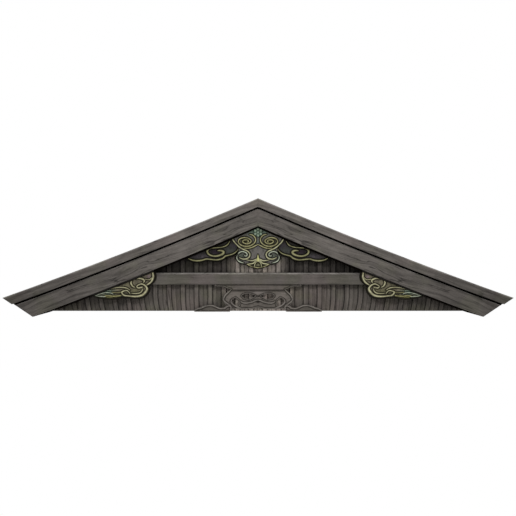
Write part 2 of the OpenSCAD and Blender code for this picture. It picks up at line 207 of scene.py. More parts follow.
class Nodes:
    """Builds nodes in one tree and links their inputs."""

    def __init__(self, tree):
        self.tree = tree

    def add(self, kind, settings=None, **inputs):
        node = self.tree.nodes.new(kind)
        for key, value in (settings or {}).items():
            setattr(node, key, value)
        for key, value in inputs.items():
            self.join(node, key, value)
        return node

    def join(self, node, key, value):
        """Links or sets an input, named with underscores for spaces or numbered as i0, i1 and so on."""
        numbered = key[0] == "i" and key[1:].isdigit()
        socket = node.inputs[int(key[1:]) if numbered else key.replace("_", " ")]
        if isinstance(value, bpy.types.NodeSocket):
            self.tree.links.new(value, socket)
        else:
            socket.default_value = value

    def math(self, operation, a, b=0.0, c=0.0):
        return self.add("ShaderNodeMath", {"operation": operation}, i0=a, i1=b, i2=c).outputs[0]

    def times(self, a, b):
        return self.math("MULTIPLY", a, b)

    def times_plus(self, a, b, c):
        return self.math("MULTIPLY_ADD", a, b, c)

    def minus(self, a, b):
        return self.math("SUBTRACT", a, b)

    def blend(self, factor, a, b):
        """A number between two others."""
        return self.add("ShaderNodeMix", {"data_type": "FLOAT"}, i0=factor, i2=a, i3=b).outputs[0]

    def mix(self, factor, a, b, blend="MIX"):
        """A mix of two colours."""
        node = self.add("ShaderNodeMix", {"data_type": "RGBA", "blend_type": blend, "clamp_factor": True})
        for key, value in (("i0", factor), ("i6", a), ("i7", b)):
            self.join(node, key, value if not isinstance(value, tuple) else (*value[:3], 1.0))
        return node.outputs[2]

    def ramp(self, value, low, high, to_low=0.0, to_high=1.0):
        node = self.add("ShaderNodeMapRange", {"interpolation_type": "SMOOTHSTEP"},
                        Value=value, From_Min=low, From_Max=high, To_Min=to_low, To_Max=to_high)
        return node.outputs["Result"]

    def noise(self, vector, scale, detail=3.0, roughness=0.55, output="Fac"):
        return self.add("ShaderNodeTexNoise", Vector=vector, Scale=scale, Detail=detail,
                        Roughness=roughness).outputs[output]


COLOUR, FLOAT, VECTOR = "NodeSocketColor", "NodeSocketFloat", "NodeSocketVector"
ANY_GREY = (0.1, 0.1, 0.1, 1.0)
GROUPS = {}


def new_group(name, inputs, outputs):
    """An empty shader node group with its sockets, and its inner nodes."""
    tree = GROUPS[name] = bpy.data.node_groups.new(name, "ShaderNodeTree")
    for label, kind, value in inputs:
        socket = tree.interface.new_socket(label, in_out="INPUT", socket_type=kind)
        if value is not None:
            socket.default_value = value
    for label, kind in outputs:
        tree.interface.new_socket(label, in_out="OUTPUT", socket_type=kind)
    n = Nodes(tree)
    return n, n.add("NodeGroupInput").outputs, n.add("NodeGroupOutput")


def timber_grain_group():
    """Fibres, streaks, drying checks and patches of old softwood along the X axis of its vector."""
    n, start, end = new_group(
        "timber_grain",
        [("Vector", VECTOR, None), ("Color", COLOUR, ANY_GREY), ("Streaks", FLOAT, 0.35), ("Patches", FLOAT, 0.5)],
        [("Color", COLOUR), ("Roughness", FLOAT), ("Height", FLOAT)])
    place, streaks = start["Vector"], start["Streaks"]
    bend = n.add("ShaderNodeVectorMath", {"operation": "MULTIPLY_ADD"}, i0=n.noise(place, 1.7, 2.0, output="Color"),
                 i1=(0.10, 0.10, 0.10), i2=place).outputs[0]

    def drawn_out(vector, stretch, scale, detail, roughness=0.6):
        """Noise that is drawn out along the grain."""
        drawn = n.add("ShaderNodeMapping", Vector=vector, Scale=stretch).outputs[0]
        return n.noise(drawn, scale, detail, roughness)

    fibre = drawn_out(place, (3.0, 90.0, 90.0), 1.6, 5.0)
    streak = drawn_out(bend, (1.5, 26.0, 26.0), 1.3, 3.0)
    check = drawn_out(bend, (1.1, 17.0, 17.0), 1.0, 2.0, 0.5)
    speck = n.noise(place, 60.0, 3.0, 0.6)
    cloud = n.noise(place, 3.1)
    swing = n.minus(n.times_plus(fibre, 0.45, n.times(streak, 0.85)), 0.65)
    tone = n.times_plus(n.times(swing, streaks), 4.0, 1.0)
    for part, amount in ((speck, 0.35), (cloud, 0.55)):
        tone = n.times(tone, n.times_plus(n.minus(part, 0.5), amount, 1.0))
    line = n.ramp(n.math("ABSOLUTE", n.minus(check, 0.5)), 0.0, 0.022, 1.0, 0.0)
    line = n.times(line, n.ramp(cloud, 0.44, 0.58, 1.0, 0.0))
    line = n.times(line, n.times(streaks, 1.3))
    tone = n.times(tone, n.minus(1.0, n.math("MINIMUM", line, 0.75)))
    tone = n.math("MAXIMUM", tone, 0.08)
    olive = n.mix(n.ramp(n.noise(place, 4.2, 2.0), 0.48, 0.66), start["Color"], OLIVE_CAST, "MULTIPLY")
    rose = n.mix(n.ramp(n.noise(place, 2.7, 2.0), 0.46, 0.64), olive, ROSE_CAST, "MULTIPLY")
    n.join(end, "Color", toned(n, n.mix(start["Patches"], start["Color"], rose), tone))
    n.join(end, "Roughness", n.ramp(fibre, 0.3, 0.7, 0.95, 0.80))
    n.join(end, "Height", n.minus(n.times_plus(speck, 0.25, n.math("ADD", fibre, streak)), line))


def grime_group():
    """Dust and soot that gather in patches and darken a colour."""
    n, start, end = new_group(
        "grime",
        [("Vector", VECTOR, None), ("Color", COLOUR, ANY_GREY), ("Amount", FLOAT, 0.3), ("Scale", FLOAT, 9.0)],
        [("Color", COLOUR), ("Mask", FLOAT)])
    cloud = n.noise(start["Vector"], start["Scale"], 4.0, 0.65)
    mask = n.times(n.ramp(cloud, 0.40, 0.72), start["Amount"])
    n.join(end, "Color", n.mix(mask, start["Color"], GRIME))
    n.join(end, "Mask", mask)


def contact_shade_group():
    """Painted shade where another piece stands close, from how much geometry is near, as a thin dark line around
    it.
    """
    n, start, end = new_group(
        "contact_soot", [("Color", COLOUR, ANY_GREY), ("Reach", FLOAT, 0.02), ("Amount", FLOAT, 0.9)],
        [("Color", COLOUR)])
    near = n.add("ShaderNodeAmbientOcclusion", {"samples": CONTACT_SAMPLES}, Distance=start["Reach"]).outputs["AO"]
    mask = n.times(n.ramp(near, 0.50, 0.66, 1.0, 0.0), start["Amount"])
    n.join(end, "Color", n.mix(mask, start["Color"], CONTACT_SHADE))


def place_group(n, name, **inputs):
    node = n.add("ShaderNodeGroup", {"node_tree": GROUPS[name]})
    for key, value in inputs.items():
        n.join(node, key, (*value, 1.0) if isinstance(value, tuple) and len(value) == 3 else value)
    return node


def new_material(name, sheen=0.12):
    """A material with its Principled shader and the object's own coordinates."""
    material = bpy.data.materials.new(name)
    material.use_nodes = True
    material.node_tree.nodes.clear()
    n = Nodes(material.node_tree)
    shader = n.add("ShaderNodeBsdfPrincipled", Specular_IOR_Level=sheen)
    n.add("ShaderNodeOutputMaterial", Surface=shader.outputs["BSDF"])
    return material, n, shader, n.add("ShaderNodeTexCoord").outputs["Object"]


def dress(n, shader, base, roughness, height, depth):
    """Joins a shader's colour, roughness and fine relief."""
    n.join(shader, "Base_Color", base)
    n.join(shader, "Roughness", roughness)
    bump = n.add("ShaderNodeBump", Height=height, Distance=depth, Strength=0.6)
    n.join(shader, "Normal", bump.outputs["Normal"])


def toned(n, base, tone):
    grey = n.add("ShaderNodeCombineColor", Red=tone, Green=tone, Blue=tone).outputs[0]
    return n.mix(1.0, base, grey, "MULTIPLY")


def axes(n, place):
    return n.add("ShaderNodeSeparateXYZ", Vector=place).outputs


def grain_vector(n, place, turn, mirrored=True):
    """The object's coordinates, turned so that X runs with the grain."""
    parts = axes(n, place)
    x = n.math("ABSOLUTE", parts["X"]) if mirrored else parts["X"]
    joined = n.add("ShaderNodeCombineXYZ", X=x, Y=parts["Y"], Z=parts["Z"]).outputs[0]
    return n.add("ShaderNodeMapping", {"vector_type": "POINT"}, Vector=joined, Rotation=(0.0, turn, 0.0)).outputs[0]


def weathered(n, place, along, base, streaks, patches, grime, scale):
    """Grain along a vector, and its colour with grime over it."""
    grain = place_group(n, "timber_grain", Vector=along, Color=base, Streaks=streaks, Patches=patches).outputs
    dirty = place_group(n, "grime", Vector=place, Color=grain["Color"], Amount=grime, Scale=scale)
    return grain, dirty.outputs["Color"]


def timber_material(name, base, turn, middle, tips, streaks, grime, soot=0.0):
    """Weathered boards, whose tone runs from the middle of the gable out to its tips."""
    material, n, shader, place = new_material(name)
    grain, dirty = weathered(n, place, grain_vector(n, place, turn), tuple(base), streaks, 0.8, grime, 7.0)
    x = n.math("ABSOLUTE", axes(n, place)["X"])
    shaded = toned(n, dirty, n.ramp(x, 0.2 * CAD_BOX[1].x, CAD_BOX[1].x, middle, tips))
    # Painted shade beside neighbouring pieces, as a thin dark line
    if soot:
        shaded = place_group(n, "contact_soot", Color=shaded, Reach=SHADE_REACH, Amount=soot).outputs["Color"]
    dress(n, shader, shaded, grain["Roughness"], grain["Height"], WOOD_BUMP)
    return material


def carving_attributes(n):
    """What a carving's points carry: rib and cut masks (the cut mask also carries painted shade), the ground's tint
    and the ribs' own colour with painted highlight on their crests and painted shade on their flanks.
    """
    return [n.add("ShaderNodeAttribute", {"attribute_name": name}).outputs[output]
            for name, output in (("rib", "Fac"), ("cut", "Fac"), ("tint", "Color"), ("gild", "Color"))]


def painted_material(name, timber):
    """Old paint on carving: a ground colour between gilt ribs, with painted shade in the cuts and bare where worn.
    """
    material, n, shader, place = new_material(name)
    ribs, cut_shade, tint, gild = carving_attributes(n)
    bare = place_group(n, "timber_grain", Vector=grain_vector(n, place, math.pi / 2), Color=tint, Streaks=0.22,
                       Patches=0.5).outputs
    fade = n.noise(place, 26.0, 4.0, 0.6)
    base = n.mix(n.ramp(fade, 0.52, 0.80, 0.0, 0.35), bare["Color"], tuple(timber))
    gold = n.mix(n.ramp(fade, 0.45, 0.75), gild, WORN_GOLD, "MULTIPLY")
    dirty = place_group(n, "grime", Vector=place, Color=n.mix(ribs, base, gold), Amount=0.45, Scale=30.0)
    with_cut_shade = n.mix(n.times(cut_shade, PAINT_CUT_SHADING), dirty.outputs["Color"], PAINT_CUT_SHADE)
    dress(n, shader, with_cut_shade, n.ramp(fade, 0.3, 0.7, 0.65, 0.9), n.math("ADD", bare["Height"], fade), PAINT_BUMP)
    return material


# ---------------------------------------------------------------- modelling helpers


def deselect_all():
    if bpy.context.object and bpy.context.object.mode != "OBJECT":
        bpy.ops.object.mode_set(mode="OBJECT")
    bpy.ops.object.select_all(action="DESELECT")


def make_active(piece, *others):
    """Selects pieces, and makes the first one active."""
    deselect_all()
    for each in (piece, *others):
        each.select_set(True)
    bpy.context.view_layer.objects.active = piece


def link_new(name, data):
    """A new object of the scene."""
    thing = bpy.data.objects.new(name, data)
    bpy.context.scene.collection.objects.link(thing)
    return thing


class Editing:
    """Edit mode on the active piece, with all of its mesh selected unless told otherwise."""

    def __init__(self, everything=True):
        self.everything = everything

    def __enter__(self):
        bpy.ops.object.mode_set(mode="EDIT")
        if self.everything:
            bpy.ops.mesh.select_all(action="SELECT")

    def __exit__(self, *error):
        bpy.ops.mesh.select_all(action="DESELECT")
        bpy.ops.object.mode_set(mode="OBJECT")


def own_copy(source, name):
    """A renamed copy with a mesh of its own and no custom properties."""
    make_active(source)
    bpy.ops.object.duplicate(linked=False)
    piece = bpy.context.object
    for key in list(piece.keys()):
        del piece[key]
    piece.name = piece.data.name = name
    return piece


def copy_of_node(node, name):
    """A merged copy of a CAD node, with its flat faces whole again."""
    piece = own_copy(frame["nodes"][node], name)
    bpy.ops.object.parent_clear(type="CLEAR_KEEP_TRANSFORM")
    piece.data.materials.clear()
    with Editing():
        bpy.ops.mesh.remove_doubles(threshold=1e-5)
        bpy.ops.mesh.dissolve_limited(angle_limit=math.radians(0.01))
        bpy.ops.mesh.customdata_custom_splitnormals_clear()
    return piece


def pick_edges(piece, wanted):
    """Selects the edges whose two faces' normals and middle point pass a test, and tells whether there are any."""
    mesh = piece.data
    faces_at = {}
    for face in mesh.polygons:
        face.select = False
        for key in face.edge_keys:
            faces_at.setdefault(key, []).append(face.normal)
    chosen = set()
    for edge in mesh.edges:
        normals = faces_at.get(tuple(sorted(edge.vertices)), [])
        middle = (mesh.vertices[edge.vertices[0]].co + mesh.vertices[edge.vertices[1]].co) / 2
        edge.select = len(normals) == 2 and wanted(normals[0], normals[1], middle)
        if edge.select:
            chosen.update(edge.vertices)
    for vertex in mesh.vertices:
        vertex.select = vertex.index in chosen
    return bool(chosen)


def bevel_edges(piece, wanted, width, segments, material_index):
    """Bevels the picked edges and gives the new faces a material slot."""
    make_active(piece)
    bpy.context.tool_settings.mesh_select_mode = (False, True, False)
    if not pick_edges(piece, wanted):
        return
    with Editing(False):
        bpy.ops.mesh.bevel(offset=width, segments=segments, profile=0.6, affect="EDGES", clamp_overlap=True,
                           material=material_index)


def paint_faces(piece, wanted, material_index):
    for face in piece.data.polygons:
        if wanted(face.center):
            face.material_index = material_index


def smooth_by_angle(piece, degrees):
    make_active(piece)
    bpy.ops.object.shade_smooth_by_angle(angle=math.radians(degrees))
    deselect_all()


def upper_front(a, b, middle):
    """An edge between a front face and one that looks upwards."""
    front, other = (a, b) if a.y < b.y else (b, a)
    return front.y < -0.9 and other.z > 0.3 and abs(a.dot(b)) < 0.5


def batten_edge(a, b, middle):
    """An edge along the side of a batten's front."""
    front, side = (a, b) if a.y < b.y else (b, a)
    return front.y < -0.9 and abs(side.x) > 0.8 and middle.y < BATTEN_FRONT + 0.001


def square_edge(a, b, middle):
    return a.dot(b) < 0.5


def in_rebate(centre):
    """Whether a barge board's face lies behind its front, in the reveal or over the lip."""
    return BARGE_LOW.y + REBATE_NEAR < centre.y < BARGE_LOW.y + REBATE_FAR


def over_bracket(centre):
    """Whether a face of the rebate lies on top of a corner bracket, where its painted shade is lighter."""
    out = abs(centre.x)
    seat = BRACKET_HIGH.z + SEAT_REACH - ROOF_FALL * (out + BRACKET_HIGH.x)
    return in_rebate(centre) and -BRACKET_HIGH.x < out < -BRACKET_LOW.x and centre.z < seat


def settle(piece, node):
    """Hands a finished piece to the frame."""
    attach(piece, BODY)
    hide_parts(node)


def finish_board(node, materials, arris, edge, marked_edges=upper_front):
    """A board: its CAD solid with chosen edges chamfered in a second finish (by default the upper arris, pale with
    wear and painted highlight) and its other edges softened.
    """
    piece = copy_of_node(node, node + "_finished")
    for material in materials:
        piece.data.materials.append(MATERIALS[material])
    bevel_edges(piece, marked_edges, arris, 1, 1)
    bevel_edges(piece, square_edge, edge, 2, 0)
    smooth_by_angle(piece, BOARD_ANGLE)
    settle(piece, node)
    return piece


# ---------------------------------------------------------------- lines and rings


def run_along(line):
    """Distance along a line at each of its points."""
    return np.concatenate([[0.0], np.cumsum(np.linalg.norm(np.diff(line, axis=0), axis=1))])


def square_to(line):
    """Unit vectors square to a line at each of its points."""
    along = np.gradient(line, axis=0)
    along /= np.linalg.norm(along, axis=1)[:, None] + 1e-12
    return np.column_stack([-along[:, 1], along[:, 0]])


def smooth_line(knots, steps=8):
    """Points on a smooth curve through its knots."""
    k = np.array(knots, float)
    last = len(k) - 1
    t = np.linspace(0.0, 1.0, steps, endpoint=False)[:, None]
    points = []
    for i in range(last):
        a, b, c, d = k[max(i - 1, 0)], k[i], k[i + 1], k[min(i + 2, last)]
        points.append(0.5 * (2 * b + (c - a) * t + (2 * a - 5 * b + 4 * c - d) * t**2
                             + (3 * b - a - 3 * c + d) * t**3))
    return np.vstack([*points, k[-1]])


def even_line(line, spacing):
    """The same line with evenly spaced points."""
    line = np.asarray(line, float)
    run = run_along(line)
    at = np.linspace(0.0, run[-1], max(2, int(round(run[-1] / spacing)) + 1))
    return np.column_stack([np.interp(at, run, line[:, 0]), np.interp(at, run, line[:, 1])])


def nearest(points, line):
    """Distance from each point to a line, and where along it from 0 to 1."""
    steps, run = np.diff(line, axis=0), run_along(line)
    best, share = np.full(len(points), 1e9), np.zeros(len(points))
    for a, d, start, length in zip(line[:-1], steps, run, np.linalg.norm(steps, axis=1)):
        if length < 1e-12:
            continue
        t = np.clip(((points - a) @ d) / length ** 2, 0.0, 1.0)
        gap = np.linalg.norm(points - (a + t[:, None] * d), axis=1)
        closer = gap < best
        best = np.where(closer, gap, best)
        share = np.where(closer, (start + t * length) / run[-1], share)
    return best, share


def inside(points, ring):
    """Which points lie inside a closed ring."""
    x, z = points[:, 0], points[:, 1]
    hit = np.zeros(len(points), bool)
    for (x0, z0), (x1, z1) in zip(ring, np.roll(ring, -1, axis=0)):
        crosses = (z0 > z) != (z1 > z)
        at = x0 + (z - z0) * (x1 - x0) / (z1 - z0 if abs(z1 - z0) > 1e-15 else 1e-15)
        hit ^= crosses & (x < at)
    return hit


def within(points, rings):
    """Which points lie inside the first ring and outside the others."""
    hit = inside(points, rings[0])
    for hole in rings[1:]:
        hit &= ~inside(points, hole)
    return hit


def closed_ring(ring):
    return np.vstack([ring, ring[:1]])


def soft_step(value, low, high):
    t = np.clip((value - low) / (high - low), 0.0, 1.0)
    return t * t * (3.0 - 2.0 * t)


def outline_rings(node, depth):
    """The closed rings where a CAD node crosses a plane of constant depth, the longest first."""
    shape = bmesh.new()
    shape.from_mesh(frame["nodes"][node].data)
    bmesh.ops.remove_doubles(shape, verts=shape.verts, dist=1e-5)
    everything = shape.verts[:] + shape.edges[:] + shape.faces[:]
    cut = bmesh.ops.bisect_plane(shape, geom=everything, plane_co=(0, depth, 0), plane_no=(0, 1, 0))
    edges = {edge for edge in cut["geom_cut"] if isinstance(edge, bmesh.types.BMEdge)}
    rings = []
    while edges:
        start, corner = edges.pop().verts
        ring = [start, corner]
        while True:
            step = next((e for e in corner.link_edges if e in edges), None)
            if step is None:
                break
            edges.remove(step)
            corner = step.other_vert(corner)
            if corner == start:
                break
            ring.append(corner)
        rings.append(np.array([(v.co.x, v.co.z) for v in ring]))
    shape.free()
    return sorted(rings, key=lambda ring: -np.ptp(ring[:, 0]))


def split_ring(ring, spacing):
    """A ring with its long sides split, and its own corners kept."""
    points = []
    for a, b in zip(ring, np.roll(ring, -1, axis=0)):
        parts = max(1, int(round(np.linalg.norm(b - a) / spacing)))
        points += [a + (b - a) * i / parts for i in range(parts)]
    return np.array(points)


def thin_ring(ring, spacing):
    """A ring without the corners that lie closer together than the spacing and turn little."""
    kept = [ring[0]]
    for here, after in zip(ring[1:], np.roll(ring, -2, axis=0)):
        a, b = here - kept[-1], after - here
        length = np.linalg.norm(a)
        turn = abs(a[0] * b[1] - a[1] * b[0]) / (length * np.linalg.norm(b) + 1e-12)
        if length > spacing or turn > 0.4:
            kept.append(here)
    return np.array(kept)


# ---------------------------------------------------------------- carved relief


class Rib:
    """One carved rib: its line and half widths along it in metres, its height and its colour."""

    def __init__(self, line, widths, height, shade):
        self.line, self.widths, self.height, self.shade = line, np.asarray(widths), height, shade
        run = run_along(line)
        self.shares = run / run[-1]

    def mirrored(self):
        return Rib(self.line * np.array([-1.0, 1.0]), self.widths, self.height, self.shade)

    def half_at(self, share):
        """Half the rib's width at shares of its length."""
        return np.interp(share, self.shares, self.widths)


def rib_rows(rib, sizes):
    """Rows of points along a rib, at its crest, on its flanks and in the cuts on each side."""
    line = even_line(rib.line, sizes.cell)
    across = square_to(line)
    half = rib.half_at(np.linspace(0.0, 1.0, len(line)))[:, None]
    cut = sizes.cut_width
    rows = [line]
    for side in (-1.0, 1.0):
        rows += [line + across * side * (half + extra) for extra in (0.0, 0.5 * cut, 1.1 * cut)]
        rows.append(line + across * side * half * 0.55)
    return rows


def relief_heights(points, ribs, bosses, sizes):
    """Height above the ground, rib mask, cut mask for painted shade in the cuts, and rib colour with painted
    highlight on crests and painted shade on flanks, at each point.
    """
    count = len(points)
    height, mask, cut, swell = (np.zeros(count) for _ in range(4))
    colours_and_shading = np.tile(np.array(ribs[0].shade if ribs else (0.2, 0.2, 0.1)), (count, 1))
    for rib in ribs:
        gap, share = nearest(points, rib.line)
        half = np.maximum(rib.half_at(share), 1e-4)
        round_off = np.clip(1.0 - (gap / half) ** 2, 0.0, 1.0)
        dome = np.sqrt(round_off) ** 0.8 * rib.height
        # Painted highlight on the rib's crest and painted shade on its flanks
        tone = FLANK_SHADE + CREST_HIGHLIGHT * round_off ** CREST_HIGHLIGHT_POWER
        colours_and_shading = np.where((gap < half + 0.002)[:, None] & (dome >= height)[:, None],
                          tone[:, None] * np.array(rib.shade), colours_and_shading)
        height = np.maximum(height, dome)
        mask = np.maximum(mask, 1.0 - soft_step(gap / half, 0.80, 1.08))
        # The cut beside a rib is a groove; its mask also darkens the colour there, as painted shade
        trough = np.sin(np.pi * np.clip((gap - half) / (1.6 * sizes.cut_width) + 0.25, 0.0, 1.0)) ** 2
        cut = np.maximum(cut, trough)
        swell = np.maximum(swell, np.exp(-(np.maximum(gap - half, 0.0) / 0.014) ** 2))
    for x, z, radius, rise, shade in bosses:
        gap = np.hypot(points[:, 0] - x, points[:, 1] - z)
        dome = np.sqrt(np.clip(1.0 - (gap / radius) ** 2, 0.0, 1.0)) * rise
        colours_and_shading = np.where((gap < radius + 0.002)[:, None], shade, colours_and_shading)
        height = np.maximum(height, dome)
        mask = np.maximum(mask, 1.0 - soft_step(gap / radius, 0.85, 1.1))
    cut = cut * (1.0 - mask)
    ground = 0.004 * swell - sizes.groove * cut
    return np.where(height > 0.0, np.maximum(height, ground), ground), mask, cut, colours_and_shading


def scatter(rings, ribs, sizes):
    """Ring points first, then rows along the rings and ribs, and a hexagonal grid between them."""
    cell = sizes.cell
    fine = FINE_BIN * cell
    ring_points = np.vstack(rings)
    taken = {tuple(key) for key in np.floor(ring_points / fine).astype(int)}
    kept = []

    def offer(points, gap):
        ok = within(points, rings)
        for ring in rings:
            ok &= nearest(points, closed_ring(ring))[0] > gap
        for point in points[ok]:
            key = tuple(np.floor(point / fine).astype(int))
            if key not in taken:
                taken.add(key)
                kept.append(point)

    for ring in rings:
        line = even_line(closed_ring(ring), cell)
        for offset in RIM_ROWS:
            offer(line + square_to(line) * offset, 0.0015)
    for rib in ribs:
        for row in rib_rows(rib, sizes):
            offer(row, 0.0012)
    coarse = {tuple(np.floor(point / (COARSE_BIN * cell)).astype(int)) for point in kept}
    low, high = ring_points.min(axis=0), ring_points.max(axis=0)
    grid = []
    for i, z in enumerate(np.arange(low[1], high[1], cell * 0.87)):
        row = np.arange(low[0] + (i % 2) * cell / 2, high[0], cell)
        grid.append(np.column_stack([row, np.full(len(row), z)]))
    grid = np.vstack(grid)
    free = [tuple(key) not in coarse for key in np.floor(grid / (COARSE_BIN * cell)).astype(int)]
    offer(grid[np.array(free)], 0.6 * cell)
    return ring_points, np.array(kept)


def triangles_within(points, edges, rings):
    """Triangles between points, with the given edges kept, inside the first ring and outside the others."""
    solved = delaunay_2d_cdt([Vector(p) for p in points], edges, [], 0, 1e-7)
    spots = np.array([(v.x, v.y) for v in solved[0]])
    faces = np.array([face for face in solved[2] if len(face) == 3])
    return spots, faces[within(spots[faces].mean(axis=1), rings)]


def border_edges(faces):
    """Edges that only one triangle uses, in that triangle's direction."""
    seen = {}
    for a, b, c in faces:
        for edge in ((a, b), (b, c), (c, a)):
            seen[edge] = seen.get(edge, 0) + 1
    return [(a, b) for a, b in seen if (b, a) not in seen]


def leaning(spots, faces, border, width):
    """How far each border point moves out where a carving's edge leans, all but under the boards above."""
    a, b, c = spots[faces[0]]
    sense = np.sign((b - a)[0] * (c - a)[1] - (b - a)[1] * (c - a)[0])
    normals = {}
    for start, end in border:
        run = spots[end] - spots[start]
        normal = sense * np.array([run[1], -run[0]]) / (np.linalg.norm(run) + 1e-12)
        for index in (start, end):
            normals[index] = normals.get(index, np.zeros(2)) + normal
    moves = {}
    for index, normal in normals.items():
        normal = normal / (np.linalg.norm(normal) + 1e-12)
        moves[index] = normal * width * (1.0 - soft_step(normal[1], 0.35, 0.75))
    return moves


def carved_mesh(name, rings, ground, back, ribs, bosses, tint, sizes, rim_shade, lean):
    """A closed solid whose front is carved in relief; its sides, darkened with painted shade, may lean and its back
    is flat.
    """
    rings = [split_ring(thin_ring(ring, 0.5 * sizes.cell), sizes.cell) for ring in rings]
    ring_points, inner = scatter(rings, ribs, sizes)
    edges, start = [], 0
    for ring in rings:
        edges += [(start + i, start + (i + 1) % len(ring)) for i in range(len(ring))]
        start += len(ring)
    spots, faces = triangles_within(np.vstack([ring_points, inner]), edges, rings)
    height, mask, cut, gild = relief_heights(spots, ribs, bosses, sizes)
    rim = np.min([nearest(spots, closed_ring(ring))[0] for ring in rings], axis=0)
    turn = np.clip(1.0 - rim / sizes.rounding, 0.0, 1.0)
    # Painted shade on the rounded rim, where the edge turns away from the light
    edge_shade = rim_shade * soft_step(turn, 0.50, 0.90)
    mask, cut = mask * (1.0 - edge_shade), np.maximum(cut, edge_shade)
    height = np.minimum(height, sizes.relief * (1.0 - 0.45 * turn))
    height = height - sizes.rounding * (1.0 - np.sqrt(1.0 - turn**2))
    border = border_edges(faces)
    rim_spots = sorted({index for edge in border for index in edge})
    number = {index: i for i, index in enumerate(rim_spots)}
    flat = spots[rim_spots]
    _, back_faces = triangles_within(flat, [(number[a], number[b]) for a, b in border], rings)
    front = [(x, ground - h, z) for (x, z), h in zip(spots, height)]
    moves = leaning(spots, faces, border, lean)
    rear = [(x, back, z) for x, z in flat + np.array([moves[index] for index in rim_spots])]
    base = len(front)
    solid = [tuple(face) for face in faces]
    solid += [(b, a, base + number[a], base + number[b]) for a, b in border]
    solid += [tuple(base + index for index in reversed(face)) for face in back_faces]
    mesh = bpy.data.meshes.new(name)
    mesh.from_pydata(front + rear, [], solid)
    piece = link_new(name, mesh)
    paint_points(mesh, spots, flat, mask, cut, gild, tint)
    make_active(piece)
    with Editing():
        bpy.ops.mesh.normals_make_consistent(inside=False)
    smooth_by_angle(piece, CARVED_ANGLE)
    return piece


def paint_points(mesh, spots, flat, mask, cut, gild, tint):
    """Point attributes that the painted materials read."""
    rear = len(flat)
    # Rear points take full darkness in the cut mask: painted shade on the sides
    for label, values, rear_value in (("rib", mask, 0.0), ("cut", cut, 1.0)):
        data = mesh.attributes.new(label, "FLOAT", "POINT").data
        data.foreach_set("value", np.concatenate([values, np.full(rear, rear_value)]).astype(np.float32))
    for label, values in (("gild", np.vstack([gild, np.tile(gild[0], (rear, 1))])),
                          ("tint", tint(np.vstack([spots, flat])))):
        data = mesh.color_attributes.new(label, "FLOAT_COLOR", "POINT").data
        data.foreach_set("color", np.column_stack([values, np.ones(len(values))]).astype(np.float32).ravel())


def carve(node, material, sizes, ribs, bosses, tint, rings=None, back=None, rim_shade=1.0, lean=EDGE_LEAN):
    """A carving within a CAD node's box, and within its outline unless other rings are given."""
    low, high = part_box(node)
    rings = rings or outline_rings(node, low.y + RELIEF + OUTLINE_DEPTH)
    piece = carved_mesh(node + "_carved", rings, low.y + RELIEF, back or high.y, ribs, bosses, tint, sizes,
                        rim_shade, lean)
    piece.data.materials.append(MATERIALS[material])
    return piece


def tint_map(base, spots, to_metres):
    """A colour for each point: a base colour with soft oval spots of others, the same on both sides."""
    def tint(points):
        place = np.column_stack([-np.abs(points[:, 0]), points[:, 1]])
        values = np.tile(np.array(base, float), (len(place), 1))
        for centre, spread, shade in spots:
            middle, reach = to_metres(centre), to_metres(spread) - to_metres((0.0, 0.0))
            weight = np.exp(-(((place - middle) / np.abs(reach)) ** 2).sum(axis=1))[:, None]
            values = values * (1.0 - weight) + np.array(shade) * weight
        return values
    return tint


def share_place(origin, extent):
    """Turns shares of a carving's width and height into metres."""
    return lambda share: np.array(origin) + np.array(share, float) * np.array(extent)


def both_sides(left, node):
    """Adds a left piece's mirror image on the right, and hands both to the frame."""
    right = own_copy(left, left.name.replace("left", "right"))
    with Editing():
        bpy.ops.transform.resize(value=(-1.0, 1.0, 1.0), center_override=(0.0, 0.0, 0.0))
        bpy.ops.mesh.normals_make_consistent(inside=False)
    settle(left, node)
    settle(right, node.replace("left", "right"))


def join_rear(piece, node, depth, tint):
    """Adds what a CAD node has behind a depth, so that its housing stays open."""
    rear = copy_of_node(node, piece.name + "_rear")
    rear.data.materials.append(piece.data.materials[0])
    with Editing():
        bpy.ops.mesh.bisect(plane_co=(0.0, depth, 0.0), plane_no=(0.0, 1.0, 0.0), use_fill=True, clear_inner=True)
    places = np.array([(vertex.co.x, vertex.co.z) for vertex in rear.data.vertices])
    bare = np.zeros(len(places))
    # The part behind the seam takes the sides' painted shade
    paint_points(rear.data, places, places[:0], bare, bare + SIDE_SHADE, np.tile(MOSS, (len(places), 1)), tint)
    make_active(piece, rear)
    bpy.ops.object.join()
    deselect_all()


# ---------------------------------------------------------------- what is carved where

GILT, PALE_GILT, BRIGHT_GILT = (0.32, 0.305, 0.155), (0.38, 0.375, 0.225), (0.50, 0.50, 0.22)
MINT, LEAF = (0.36, 0.40, 0.31), (0.145, 0.135, 0.065)
LIME, KHAKI = (0.34, 0.33, 0.145), (0.36, 0.346, 0.215)
DUSK, MOSS, FIN_GILT = (0.023, 0.022, 0.020), (0.135, 0.121, 0.082), (0.245, 0.238, 0.122)
BARE, KNOT = (0.165, 0.150, 0.135), (0.012, 0.010, 0.008)
PETAL, PETAL_HEART, PETAL_GROUND = (0.22, 0.28, 0.21), (0.20, 0.26, 0.20), (0.022, 0.050, 0.030)

